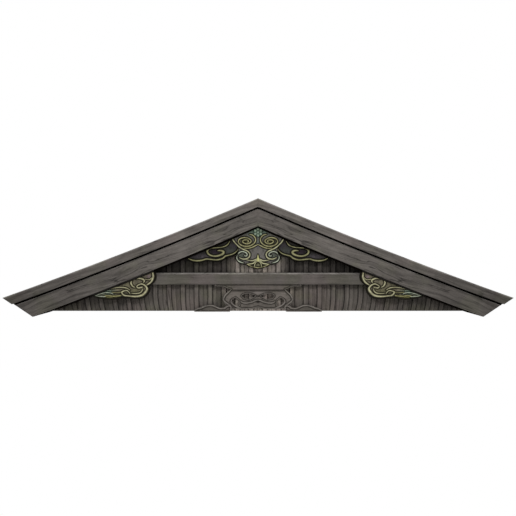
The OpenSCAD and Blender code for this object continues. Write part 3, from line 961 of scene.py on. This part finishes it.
# Each rib: half width in millimetres, height as a share of the relief, colour, knots in shares
PENDANT_RIBS = [
    (7.5, 1.0, GILT, [(-.32, -.155), (-.19, -.18), (-.10, -.254), (-.10, -.33), (-.17, -.39), (-.283, -.435),
                      (-.434, -.452), (-.604, -.432), (-.717, -.375), (-.736, -.316), (-.68, -.267), (-.547, -.237),
                      (-.396, -.247), (-.272, -.30), (-.272, -.346), (-.358, -.385), (-.472, -.385), (-.566, -.353),
                      (-.566, -.311), (-.46, -.291), (-.377, -.306), (-.362, -.338), (-.415, -.351)]),
    (8.0, 1.0, PALE_GILT, [(-.965, -.262, 7), (-.90, -.338, 8), (-.79, -.420, 8), (-.665, -.486, 8),
                           (-.528, -.534, 8), (-.392, -.573, 8), (-.31, -.637, 8), (-.332, -.716, 8),
                           (-.442, -.76, 8), (-.581, -.765, 7), (-.694, -.73, 4)]),
    (7.5, 0.9, MINT, [(-.517, -.684), (-.445, -.691), (-.408, -.657), (-.453, -.61), (-.585, -.58), (-.712, -.610),
                      (-.785, -.662), (-.803, -.736), (-.758, -.80), (-.67, -.838), (-.547, -.862)]),
    (7.0, 0.8, GILT, [(0, -.405), (-.094, -.435), (-.208, -.472), (-.358, -.499), (-.53, -.494)]),
    (7.0, 0.8, PALE_GILT, [(-.068, -.773, 9), (-.189, -.805, 8), (-.32, -.80, 6), (-.434, -.783, 4)]),
    (7.5, 0.9, PALE_GILT, [(-.415, -.894), (-.283, -.884), (-.17, -.867), (-.094, -.817), (0, -.793)]),
    (5.5, 0.7, PALE_GILT, [(-.132, -.946), (-.113, -.884), (-.068, -.84), (0, -.822)]),
    (6.5, 0.9, GILT, [(-.415, -.894), (-.32, -.928), (-.189, -.963), (0, -.98)]),
]
FLAME = [(-.655, 3), (-.69, 6), (-.725, 9), (-.755, 16), (-.785, 21)]
PENDANT_TINTS = [
    ((-.48, -.34), (.26, .11), (0.10, 0.095, 0.045)), ((-.24, -.06), (.11, .06), (0.20, 0.27, 0.21)),
    ((0, -.06), (.40, .13), (0.07, 0.12, 0.085)),
    ((-.60, -.69), (.22, .11), (0.075, 0.090, 0.070)), ((-.07, -.92), (.25, .08), (0.11, 0.105, 0.055)),
    ((-.02, -.33), (.07, .10), (0.115, 0.125, 0.115)),
    ((-.03, -.44), (.06, .04), (0.10, 0.09, 0.13)), ((-.20, -.88), (.10, .04), (0.04, 0.035, 0.015)),
    ((0, -.872), (.05, .025), (0.03, 0.03, 0.012)),
]
FIN_RIBS = [
    (8.0, 1.0, FIN_GILT, [(-.165, -.323, 4), (-.20, -.398, 7), (-.255, -.446, 7), (-.335, -.475, 7),
                          (-.43, -.485, 7), (-.525, -.495, 8), (-.585, -.525, 10), (-.612, -.575, 12),
                          (-.59, -.635, 11), (-.545, -.672, 10), (-.485, -.692, 10), (-.42, -.690, 11),
                          (-.36, -.672, 12), (-.305, -.638, 14), (-.285, -.598, 14), (-.31, -.566, 12),
                          (-.36, -.555, 9), (-.405, -.562, 5)]),
    (8.0, 1.0, FIN_GILT, [(.006, -.484, 5), (0, -.538, 5.5), (-.04, -.588, 6), (-.099, -.637, 6.5),
                          (-.178, -.669, 7), (-.248, -.691, 8), (-.291, -.736, 9), (-.356, -.77, 8.5),
                          (-.436, -.785, 8), (-.535, -.773, 8), (-.634, -.765, 8), (-.713, -.795, 9),
                          (-.812, -.807, 9.5), (-.911, -.79, 8), (-.98, -.751, 5)]),
]
FIN_TINTS = [
    ((-.45, -.59), (.12, .07), (0.016, 0.010, 0.016)), ((-.05, -.40), (.10, .12), (0.045, 0.040, 0.048)),
    ((-.16, -.56), (.12, .07), (0.045, 0.049, 0.043)), ((-.75, -.70), (.20, .06), (0.060, 0.052, 0.058)),
    ((-.20, -.30), (.20, .07), (0.052, 0.048, 0.038)),
]
BRACKET_RIBS = [
    (7.5, 1.0, KHAKI, [(.10, -.37, 5), (.05, -.26, 7), (-.03, -.31, 8), (0, -.43, 9), (.10, -.475, 10),
                      (.21, -.48, 11), (.30, -.425, 12), (.36, -.29, 13), (.375, -.18, 12), (.345, -.07, 10),
                      (.29, -.01, 8), (.235, -.05, 7), (.21, -.11, 7), (.235, -.16, 8), (.295, -.135, 9)]),
    (7.0, 0.9, KHAKI, [(-.21, -.20), (-.145, -.155), (-.05, -.135), (.035, -.16), (.10, -.24)]),
    (6.5, 0.8, LEAF, [(-.19, -.325), (-.095, -.335), (-.03, -.31)]),
    (5.5, 0.7, LIME, [(-.31, -.47), (-.26, -.455), (-.16, -.47), (-.05, -.45)]),
    (5.0, 0.7, MINT, [(-.465, -.448), (-.415, -.468), (-.35, -.482), (-.30, -.487)]),
    (5.0, 0.7, MINT, [(-.45, -.43), (-.37, -.375), (-.29, -.335), (-.21, -.35), (-.17, -.40)]),
    (7.5, 1.0, KHAKI, [(.13, .14, 8), (.115, .03, 10), (.14, -.09, 9), (.18, -.135, 5)]),
    (7.5, 1.0, KHAKI, [(.205, .18, 5), (.26, .20, 9), (.31, .165, 11), (.335, .10, 9), (.315, .05, 5)]),
    (8.0, 1.0, KHAKI, [(.465, .44, 9), (.475, .25, 11), (.44, .065, 11), (.375, -.045, 7)]),
    (5.0, 0.7, KHAKI, [(.345, .17), (.415, .15), (.45, .22)]),
    (6.5, 0.8, KHAKI, [(.125, -.36), (.195, -.37), (.26, -.345), (.295, -.27), (.30, -.19)]),
]
BRACKET_TINTS = [
    ((-.28, -.32), (.12, .09), (0.125, 0.20, 0.155)), ((-.41, -.44), (.09, .06), (0.27, 0.29, 0.22)),
    ((-.24, -.52), (.16, .05), (0.19, 0.18, 0.07)), ((.40, .27), (.035, .06), (0.20, 0.15, 0.15)),
    ((.05, -.02), (.12, .14), (0.13, 0.120, 0.075)), ((.18, -.28), (.12, .12), (0.105, 0.100, 0.055)),
    ((.06, -.40), (.06, .05), (0.045, 0.045, 0.026)),
]
STRUT_RIBS = [
    (8.0, 0.8, BARE, [(-.985, -.96), (-.95, -.905), (-.895, -.88), (-.84, -.825), (-.78, -.79), (-.71, -.80),
                      (-.645, -.86), (-.60, -.90), (-.53, -.895), (-.49, -.83), (-.45, -.80), (-.425, -.85),
                      (-.44, -.93)]),
    (8.0, 0.9, BARE, [(-.42, -.215), (-.465, -.305), (-.515, -.415), (-.54, -.535), (-.535, -.62), (-.485, -.72),
                      (-.43, -.79)]),
    (7.5, 0.8, BARE, [(-.41, -.56), (-.425, -.66), (-.39, -.76), (-.33, -.84), (-.26, -.885)]),
    (7.5, 0.8, BARE, [(-.275, -.63), (-.235, -.69), (-.17, -.70), (-.09, -.66), (-.04, -.61), (0, -.59)]),
    (0.5, 0.1, KNOT, [(-.66, -.035), (-.33, -.035), (0, -.035)]),
    (0.5, 0.1, KNOT, [(-.42, -.25), (-.21, -.25), (0, -.25)]),
    (1.0, 0.1, KNOT, [(-.10, -.415), (-.055, -.44), (0, -.455)]),
]
STRUT_TINTS = [
    ((0, -.66), (.035, .05), KNOT), ((-.75, -.87), (.20, .07), (0.10, 0.090, 0.078)),
    ((0, -.32), (.14, .05), (0.145, 0.132, 0.121)), ((0, -.14), (.90, .09), (0.090, 0.080, 0.072)),
]


def ribs_from(rows, to_metres, sizes, mirrored=False):
    """Ribs from rows of half width in millimetres, height share, colour and knots, which may carry widths."""
    ribs = []
    for half, height, shade, knots in rows:
        widths = [knot[2] if len(knot) > 2 else half for knot in knots]
        if len(knots[0]) == 2 and len(knots[-1]) == 2 and len(knots) > 4:
            widths[0], widths[-1] = 0.55 * widths[0], 0.55 * widths[-1]
        line = smooth_line([(*to_metres(knot[:2]), width / 1000.0) for knot, width in zip(knots, widths)])
        ribs.append(Rib(line[:, :2], line[:, 2], height * sizes.relief, shade))
    return ribs + [rib.mirrored() for rib in ribs] if mirrored else ribs


def rim_ribs(rings, half, height, shade, sizes):
    """Low ribs along the edges of a carving."""
    return [Rib(closed_ring(ring), np.full(len(ring) + 1, half), height * sizes.relief, shade) for ring in rings]


def rosette_shape():
    """The rosette's ring, and its six domed petals and middle as bosses."""
    x, z = 0.0, (ROSETTE_LOW.z + ROSETTE_HIGH.z) / 2
    radius = (ROSETTE_HIGH.z - ROSETTE_LOW.z) / 2
    turns = np.linspace(0.0, 2 * math.pi, 121)[:-1]
    reach = radius * (0.93 + 0.07 * np.cos(6 * (turns - math.pi / 2)))
    ring = np.array([x, z]) + np.column_stack([reach * np.cos(turns), reach * np.sin(turns)])
    bosses = []
    for i in range(6):
        angle = math.pi / 2 + i * math.pi / 3
        bosses.append((x + 0.66 * radius * math.cos(angle), z + 0.66 * radius * math.sin(angle), 0.27 * radius,
                       0.5 * RELIEF, PETAL))
    return ring, bosses + [(x, z, 0.30 * radius, 0.9 * RELIEF, PETAL_HEART)]


class SizeView:
    """The scene's sizes with some of them changed."""

    def __init__(self, sizes, **changes):
        for name in GableSizes.__annotations__:
            setattr(self, name, changes.get(name, getattr(sizes, name)))


# ---------------------------------------------------------------- materials of the pieces

MATERIALS = {}


def wall_material(name, base, depth):
    """Dusty upright boards, with painted shade in the closed corners above the beam and towards the tips, painted
    light in the middle and behind the strut and pendant where their shadows fall, and painted shade beside
    neighbouring pieces.
    """
    material, n, shader, place = new_material(name)
    parts = axes(n, place)
    x = n.math("ABSOLUTE", parts["X"])

    def across(ramps):
        """The product of several tones of painted light and shade across the gable."""
        tone = 1.0
        for ramp in ramps:
            tone = n.times(tone, n.ramp(x, *ramp))
        return tone

    far = n.math("DIVIDE", n.minus(x, DRAW_START), DRAW_SPREAD)
    low = n.math("MAXIMUM", n.math("DIVIDE", n.minus(WALL_FOOT + DRAW_HEIGHT, parts["Z"]), DRAW_HEIGHT), 0.0)
    drawn = n.times(n.math("MINIMUM", n.math("MAXIMUM", far, 0.0), 1.0), n.times(low, low))
    turns = n.math("FRACT", n.times_plus(n.times_plus(drawn, FOOT_DRAW, x), 1.0 / BOARD_PITCH, 0.5))
    off = n.math("ABSOLUTE", n.minus(turns, 0.5))
    check = n.ramp(off, CHECK_HALF / BOARD_PITCH, 2.2 * CHECK_HALF / BOARD_PITCH, 1.0, 0.0)
    strip = n.math("FLOOR", n.math("DIVIDE", parts["X"], 0.5 * BOARD_PITCH))
    shade = n.add("ShaderNodeTexWhiteNoise", {"noise_dimensions": "1D"}, W=strip).outputs["Value"]
    along = grain_vector(n, place, math.pi / 2, False)
    grain, dirty = weathered(n, place, along, tuple(base), 0.42, 1.0, 0.35, 6.0)
    # Painted light and shade on the front faces; the back takes REAR_TONE
    above = n.ramp(parts["Z"], BEAM_LOW.z, BEAM_HIGH.z)
    behind = n.ramp(parts["Y"], 0.5 * BATTEN_FRONT, 0.2 * BATTEN_FRONT)
    tone = n.blend(behind, n.blend(above, across(LOW_LIGHT_AND_SHADE), across(HIGH_LIGHT_AND_SHADE)), REAR_TONE)
    tone = n.times(tone, n.times_plus(shade, 0.18, 0.91 * depth))
    tone = n.times(tone, n.times_plus(check, -CHECK_DARK, 1.0))
    # Painted shade beside neighbouring pieces, as a thin dark line
    with_contact_shade = place_group(n, "contact_soot", Color=toned(n, dirty, tone), Reach=SHADE_REACH, Amount=0.45)
    dress(n, shader, with_contact_shade.outputs["Color"], grain["Roughness"], grain["Height"], WOOD_BUMP)
    return material


def rebate_shade_material():
    """Near-black painted shade in the reveals and rebates, with a little grime over it."""
    material, n, shader, place = new_material("sooted_rebate", 0.02)
    dust = place_group(n, "grime", Vector=place, Color=REVEAL_SHADE, Amount=0.15, Scale=14.0).outputs
    dress(n, shader, dust["Color"], n.ramp(dust["Mask"], 0.0, 0.5, 0.88, 0.96), dust["Mask"], SOFT_BUMP)
    return material


def strut_material():
    """Bare worn carving: pale ridges with painted highlight on their crests, and painted shade on their flanks and
    in the cuts, on weathered timber.
    """
    material, n, shader, place = new_material("strut_worn_wood")
    ribs, cut_shade, tint, gild = carving_attributes(n)
    base = n.mix(n.times(ribs, 0.8), tint, gild)
    grain, dirty = weathered(n, place, grain_vector(n, place, 0.0), base, 0.34, 0.8, 0.3, 16.0)
    with_cut_shade = n.mix(n.times(cut_shade, WOOD_CUT_SHADING), dirty, WOOD_CUT_SHADE)
    dress(n, shader, with_cut_shade, grain["Roughness"], grain["Height"], SOFT_BUMP)
    return material


def make_materials(finishes):
    timber_grain_group()
    grime_group()
    contact_shade_group()
    slope = math.atan2(APEX_SEAT - BARGE_LOW.z, BARGE_HIGH.x)
    MATERIALS.update(
        soot=rebate_shade_material(),
        cap=timber_material("cap_timber", finishes.timber, -slope, 1.07, 0.62, 0.40, 0.22),
        barge=timber_material("barge_timber", finishes.timber, -slope, 1.0, 0.62, 0.46, 0.22),
        # A darker copy of the barge timber: painted shade on the rebate's lip over the brackets
        lip=timber_material("lip_timber", finishes.timber, -slope, 0.36, 0.22, 0.46, 0.22),
        # The beam takes painted shade beside neighbouring pieces
        beam=timber_material("beam_timber", finishes.timber, 0.0, 0.80, 0.76, 0.24, 0.15, 0.9),
        # Pale upper edges: wear and a painted highlight
        arris=timber_material("bleached_arris", finishes.arris, -slope, 0.95, 0.8, 0.55, 0.25),
        wall=wall_material("wall_boards_dusty", finishes.wall, 1.0),
        # Batten edges: darker with dirt and painted shade
        wall_edge=wall_material("wall_edges_dirty", finishes.wall, 0.18),
        pendant=painted_material("pendant_paint", finishes.timber),
        bracket=painted_material("bracket_paint", finishes.timber),
        rosette=painted_material("rosette_paint", finishes.timber),
        strut=strut_material())


# ---------------------------------------------------------------- operators


class PieceOperator:
    """What every piece's operator shares."""

    bl_options = {"REGISTER", "UNDO"}


class GABLE_OT_caps(PieceOperator, bpy.types.Operator):
    """Cap boards along both slopes"""

    bl_idname = "gable.caps"
    bl_label = "Cap boards"

    def execute(self, context):
        sizes = context.scene.gable_sizes
        for side in SIDES:
            finish_board("cap_board_" + side, ("cap", "arris"), sizes.arris, sizes.edge)
        return {"FINISHED"}


class GABLE_OT_barge_boards(PieceOperator, bpy.types.Operator):
    """Barge boards under the caps, with painted shade in the reveal and rebate"""

    bl_idname = "gable.barge_boards"
    bl_label = "Barge boards"

    def execute(self, context):
        sizes = context.scene.gable_sizes
        for side in SIDES:
            piece = finish_board("barge_board_" + side, ("barge", "arris", "soot", "lip"),
                                 0.6 * sizes.arris, sizes.edge)
            # The reveal and rebate take near-black painted shade, and over the brackets a lighter painted shade
            paint_faces(piece, in_rebate, 2)
            paint_faces(piece, over_bracket, 3)
        return {"FINISHED"}


class GABLE_OT_tie_beam(PieceOperator, bpy.types.Operator):
    """Tie beam across the foot of the upper field"""

    bl_idname = "gable.tie_beam"
    bl_label = "Tie beam"

    def execute(self, context):
        sizes = context.scene.gable_sizes
        finish_board("tie_beam", ("beam", "arris"), 1.4 * sizes.arris, sizes.edge)
        return {"FINISHED"}


class GABLE_OT_wall(PieceOperator, bpy.types.Operator):
    """Upright wall boards with their battens"""

    bl_idname = "gable.wall"
    bl_label = "Wall boards"

    def execute(self, context):
        sizes = context.scene.gable_sizes
        for node in WALL_BOARDS:
            finish_board(node, ("wall", "wall_edge"), sizes.batten_edge, sizes.edge, batten_edge)
        return {"FINISHED"}


class GABLE_OT_pendant(PieceOperator, bpy.types.Operator):
    """Scrolled pendant under the apex"""

    bl_idname = "gable.pendant"
    bl_label = "Pendant"

    def execute(self, context):
        sizes = context.scene.gable_sizes
        to_metres = share_place((0.0, PENDANT_HIGH.z), (PENDANT_HIGH.x, PENDANT_HIGH.z - PENDANT_LOW.z))
        ribs = ribs_from(PENDANT_RIBS, to_metres, sizes, True)
        flame = smooth_line([(0.0, to_metres((0, share))[1], half / 1000.0) for share, half in FLAME])
        ribs.append(Rib(flame[:, :2], flame[:, 2], sizes.relief, BRIGHT_GILT))
        bosses = [(0.0, to_metres((0, -.915))[1], 0.008, 0.6 * sizes.relief, (0.13, 0.14, 0.09))]
        tint = tint_map(tuple(context.scene.gable_finishes.ground), PENDANT_TINTS, to_metres)
        settle(carve("pendant", "pendant", sizes, ribs, bosses, tint), "pendant")
        return {"FINISHED"}


class GABLE_OT_fins(PieceOperator, bpy.types.Operator):
    """Scrolled fins on both sides of the pendant"""

    bl_idname = "gable.fins"
    bl_label = "Pendant fins"

    def execute(self, context):
        sizes = context.scene.gable_sizes
        width = (FIN_HIGH.x - FIN_LOW.x) / FIN_SPAN[1]
        seam = FIN_LOW.x + FIN_SPAN[0] * width
        to_metres = share_place((seam, PENDANT_HIGH.z), (width, PENDANT_HIGH.z - PENDANT_LOW.z))
        ribs = ribs_from(FIN_RIBS, to_metres, sizes)
        left = carve("pendant_fin_left", "pendant", sizes, ribs, [], tint_map(DUSK, FIN_TINTS, to_metres))
        both_sides(left, "pendant_fin_left")
        return {"FINISHED"}


class GABLE_OT_rosette(PieceOperator, bpy.types.Operator):
    """Six-petalled rosette at the head of the pendant"""

    bl_idname = "gable.rosette"
    bl_label = "Pendant rosette"

    def execute(self, context):
        sizes = context.scene.gable_sizes
        ring, bosses = rosette_shape()
        fine = SizeView(sizes, cell=0.5 * sizes.cell)
        tint = tint_map(PETAL_GROUND, [], share_place((0, 0), (1, 1)))
        piece = carve("pendant_rosette", "rosette", fine, [], bosses, tint, [ring], lean=0.0)
        settle(piece, "pendant_rosette")
        return {"FINISHED"}


class GABLE_OT_brackets(PieceOperator, bpy.types.Operator):
    """Scrolled corner brackets, housed over the tie beam"""

    bl_idname = "gable.brackets"
    bl_label = "Corner brackets"

    def execute(self, context):
        sizes = context.scene.gable_sizes
        width = (BRACKET_HIGH.x - BRACKET_LOW.x) / BRACKET_SPAN[1]
        height = (BRACKET_HIGH.z - BRACKET_LOW.z) / BRACKET_RISE[1]
        origin = (BRACKET_LOW.x + BRACKET_SPAN[0] * width, BRACKET_LOW.z + BRACKET_RISE[0] * height)
        to_metres = share_place(origin, (width, height))
        ribs = ribs_from(BRACKET_RIBS, to_metres, sizes)
        bosses = [(*to_metres((.40, .27)), 0.012, 0.7 * sizes.relief, (0.20, 0.15, 0.16))]
        tint = tint_map(MOSS, BRACKET_TINTS, to_metres)
        rings = outline_rings("corner_bracket_left", BRACKET_SEAM)
        left = carve("corner_bracket_left", "bracket", sizes, ribs, bosses, tint, rings, BRACKET_SEAM,
                     lean=2.0 * EDGE_LEAN)
        join_rear(left, "corner_bracket_left", BRACKET_SEAM, tint)
        both_sides(left, "corner_bracket_left")
        return {"FINISHED"}


class GABLE_OT_strut(PieceOperator, bpy.types.Operator):
    """Frog-leg strut under the tie beam"""

    bl_idname = "gable.strut"
    bl_label = "Frog-leg strut"

    def execute(self, context):
        sizes = context.scene.gable_sizes
        to_metres = share_place((0.0, STRUT_HIGH.z), (STRUT_HIGH.x, STRUT_HIGH.z - STRUT_LOW.z))
        rings = outline_rings("frog_leg_strut", STRUT_LOW.y + RELIEF + OUTLINE_DEPTH)
        ribs = ribs_from(STRUT_RIBS, to_metres, sizes, True) + rim_ribs(rings, 0.006, 0.5, BARE, sizes)
        tint = tint_map(tuple(context.scene.gable_finishes.strut), STRUT_TINTS, to_metres)
        piece = carve("frog_leg_strut", "strut", sizes, ribs, [], tint, rings, rim_shade=0.0, lean=0.4 * EDGE_LEAN)
        settle(piece, "frog_leg_strut")
        return {"FINISHED"}


class GABLE_OT_stage(PieceOperator, bpy.types.Operator):
    """Pale floor, white background, soft light and camera"""

    bl_idname = "gable.stage"
    bl_label = "Stage"

    def execute(self, context):
        scene = context.scene
        bpy.ops.mesh.primitive_plane_add(size=FLOOR_SIZE, location=(0.0, 0.0, CAD_BOX[0].z - FLOOR_DROP))
        floor = bpy.context.object
        floor.name = floor.data.name = "pale_floor"
        material, n, shader, place = new_material("pale_floor")
        n.join(shader, "Base_Color", (*scene.gable_finishes.backdrop, 1.0))
        n.join(shader, "Roughness", FLOOR_ROUGHNESS)
        floor.data.materials.append(material)
        for name, aim, strength, spread in LAMPS:
            lamp = bpy.data.lights.new(name, "SUN")
            lamp.energy, lamp.angle = strength, math.radians(spread)
            link_new(name, lamp).rotation_euler = Vector(aim).to_track_quat("-Z", "Y").to_euler()
        world = scene.world = bpy.data.worlds.new("white_surround")
        world.use_nodes = True
        world.node_tree.nodes.clear()
        w = Nodes(world.node_tree)
        seen = w.add("ShaderNodeBackground", Color=(1.0, 1.0, 1.0, 1.0), Strength=1.0)
        fill = w.add("ShaderNodeBackground", Color=(1.0, 0.99, 0.97, 1.0), Strength=FILL)
        path = w.add("ShaderNodeLightPath")
        mixed = w.add("ShaderNodeMixShader", i0=path.outputs["Is Camera Ray"], i1=fill.outputs[0],
                      i2=seen.outputs[0])
        w.add("ShaderNodeOutputWorld", Surface=mixed.outputs[0])
        camera = bpy.data.cameras.new("front_camera")
        camera.type, camera.ortho_scale = "ORTHO", VIEW_WIDTH
        holder = scene.camera = link_new("front_camera", camera)
        holder.location = (0.0, -VIEW_BACK, VIEW_CENTRE)
        holder.rotation_euler = (math.pi / 2, 0.0, 0.0)
        scene.view_settings.view_transform = "Standard"
        return {"FINISHED"}


PIECES = (GABLE_OT_caps, GABLE_OT_barge_boards, GABLE_OT_tie_beam, GABLE_OT_wall, GABLE_OT_pendant, GABLE_OT_fins,
          GABLE_OT_rosette, GABLE_OT_brackets, GABLE_OT_strut, GABLE_OT_stage)


class GABLE_PT_panel(bpy.types.Panel):
    """Sizes, finishes and a button for each piece"""

    bl_idname = "GABLE_PT_panel"
    bl_label = "Timber gable"
    bl_space_type = "VIEW_3D"
    bl_region_type = "UI"
    bl_category = "Gable"

    def draw(self, context):
        for group in (context.scene.gable_sizes, context.scene.gable_finishes):
            box = self.layout.box()
            for name in group.__annotations__:
                box.prop(group, name)
        for operator in PIECES:
            self.layout.operator(operator.bl_idname)


CLASSES = (GableSizes, GableFinishes, *PIECES, GABLE_PT_panel)


def register():
    for item in CLASSES:
        bpy.utils.register_class(item)
    bpy.types.Scene.gable_sizes = PointerProperty(type=GableSizes)
    bpy.types.Scene.gable_finishes = PointerProperty(type=GableFinishes)


def unregister():
    del bpy.types.Scene.gable_finishes
    del bpy.types.Scene.gable_sizes
    for item in reversed(CLASSES):
        bpy.utils.unregister_class(item)


def main():
    register()
    make_materials(bpy.context.scene.gable_finishes)
    for operator in PIECES:
        getattr(bpy.ops.gable, operator.bl_idname.split(".")[1])()


if __name__ == "__main__":
    main()
